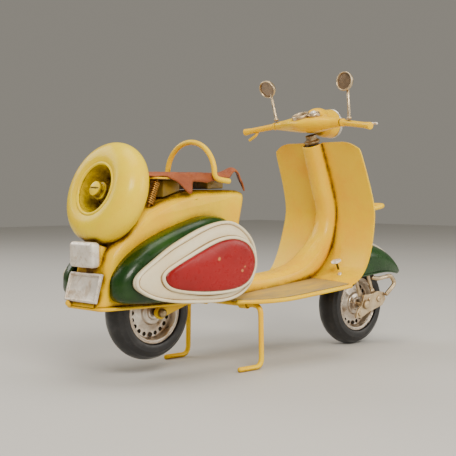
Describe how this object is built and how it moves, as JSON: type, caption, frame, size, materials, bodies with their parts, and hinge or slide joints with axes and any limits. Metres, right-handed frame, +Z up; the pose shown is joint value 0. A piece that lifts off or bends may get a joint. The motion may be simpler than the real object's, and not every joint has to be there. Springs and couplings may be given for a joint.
{
  "type": "toy scooter",
  "caption": "Hand-made tin scooter model: shell body with bulged cowls, leg shield, turning fork and handlebar, rolling wheels, spare wheel, leather seat and fold-up stand.",
  "frame": {"origin": "centre of the bounding box at its lowest level, the surface that the stand's toes and the front tyre rest on", "axes": "+X towards the front wheel, +Y towards the rider's left, +Z up"},
  "size_m": [0.2216, 0.0894, 0.1432],
  "materials": {
    "yellow_paint": "glossy hand-painted warm yellow with brown antiquing in the crevices",
    "green_paint": "glossy deep green paint",
    "cream_paint": "cream paint with worn edges",
    "red_paint": "red paint with scratches and small chips",
    "floor_paint": "yellow paint under a beige wash",
    "silver_plate": "dull silver, worn",
    "aged_chrome": "aged bright plate with a brown wash",
    "pale_gold_metal": "pale gold-silver plate, aged",
    "spring_brass": "tarnished brass",
    "black_rubber": "satin black rubber",
    "seat_hide": "orange-brown thin leather with raw edges",
    "lamp_glass": "clear lamp glass"
  },
  "bodies": {
    "frame": {"rear_body_shell": "yellow_paint", "right_cowl_base": "green_paint", "left_cowl_base": "green_paint", "right_cowl_panel": "cream_paint", "left_cowl_panel": "cream_paint", "right_cowl_inlay": "red_paint", "left_cowl_inlay": "red_paint", "spare_tyre": "yellow_paint", "spare_rim": "yellow_paint", "spare_bolt": "yellow_paint", "spare_carrier": "yellow_paint", "tail_lamp": "silver_plate", "tail_lamp_housing": "yellow_paint", "number_plate": "silver_plate", "plate_bracket": "yellow_paint", "seat_leather": "seat_hide", "seat_pan": "yellow_paint", "seat_front_bracket": "yellow_paint", "seat_rear_block": "yellow_paint", "seat_spring_right": "spring_brass", "seat_spring_left": "spring_brass", "grab_handle": "yellow_paint", "rear_axle": "pale_gold_metal", "rear_arm_right": "yellow_paint", "rear_arm_left": "yellow_paint", "floor_pan": "floor_paint", "floor_tunnel": "yellow_paint", "floor_trim_right": "yellow_paint", "floor_trim_left": "yellow_paint", "leg_shield": "yellow_paint", "spine_cover": "yellow_paint", "nose_cover": "yellow_paint", "steering_head_tube": "yellow_paint", "front_carrier": "yellow_paint", "stand_clip_right": "yellow_paint", "stand_clip_left": "yellow_paint"},
    "rear_wheel": {"rear_tyre": "black_rubber", "rear_rim": "aged_chrome"},
    "steering": {"steering_column": "pale_gold_metal", "front_fork": "pale_gold_metal", "front_damper": "pale_gold_metal", "link_plate": "pale_gold_metal", "suspension_loop": "pale_gold_metal", "front_axle": "pale_gold_metal", "front_fender": "green_paint", "fender_trim": "cream_paint", "headset": "yellow_paint", "headlight_ring": "aged_chrome", "headlight_lens": "lamp_glass", "speedometer": "pale_gold_metal", "right_grip": "yellow_paint", "left_grip": "yellow_paint", "right_lever": "silver_plate", "left_lever": "yellow_paint"},
    "front_wheel": {"front_tyre": "black_rubber", "front_rim": "aged_chrome"},
    "stand": {"centre_stand": "yellow_paint"},
    "pedal": {"brake_pedal": "silver_plate"},
    "mirror_right": {"right_mirror": "pale_gold_metal"},
    "mirror_left": {"left_mirror": "pale_gold_metal"}
  },
  "joints": [
    {"name": "rear_wheel_spin", "type": "hinge", "parent": "frame", "child": "rear_wheel", "pos_m": [-0.07315, 0, 0.0289], "axis": [0, 1, 0], "continuous": true},
    {"name": "steering_turn", "type": "hinge", "parent": "frame", "child": "steering", "pos_m": [0.06945, 0, 0.022], "axis": [-0.3406, 0, 0.9402], "range_deg": [-35, 35]},
    {"name": "front_wheel_spin", "type": "hinge", "parent": "steering", "child": "front_wheel", "pos_m": [0.06945, 0, 0.022], "axis": [0, 1, 0], "continuous": true},
    {"name": "stand_fold", "type": "hinge", "parent": "frame", "child": "stand", "pos_m": [-0.02565, 0, 0.0297], "axis": [0, 1, 0], "range_deg": [0, 60]},
    {"name": "brake_pedal_press", "type": "hinge", "parent": "frame", "child": "pedal", "pos_m": [0.03885, -0.018, 0.0424], "axis": [0, 1, 0], "range_deg": [0, 12]},
    {"name": "right_mirror_swivel", "type": "hinge", "parent": "steering", "child": "mirror_right", "pos_m": [0.03325, -0.0292, 0.1193], "axis": [-0.0263, 0.1104, 0.9935], "range_deg": [-60, 60]},
    {"name": "left_mirror_swivel", "type": "hinge", "parent": "steering", "child": "mirror_left", "pos_m": [0.03325, 0.0214, 0.1207], "axis": [-0.0274, 0.3128, 0.9494], "range_deg": [-60, 60]}
  ]
}
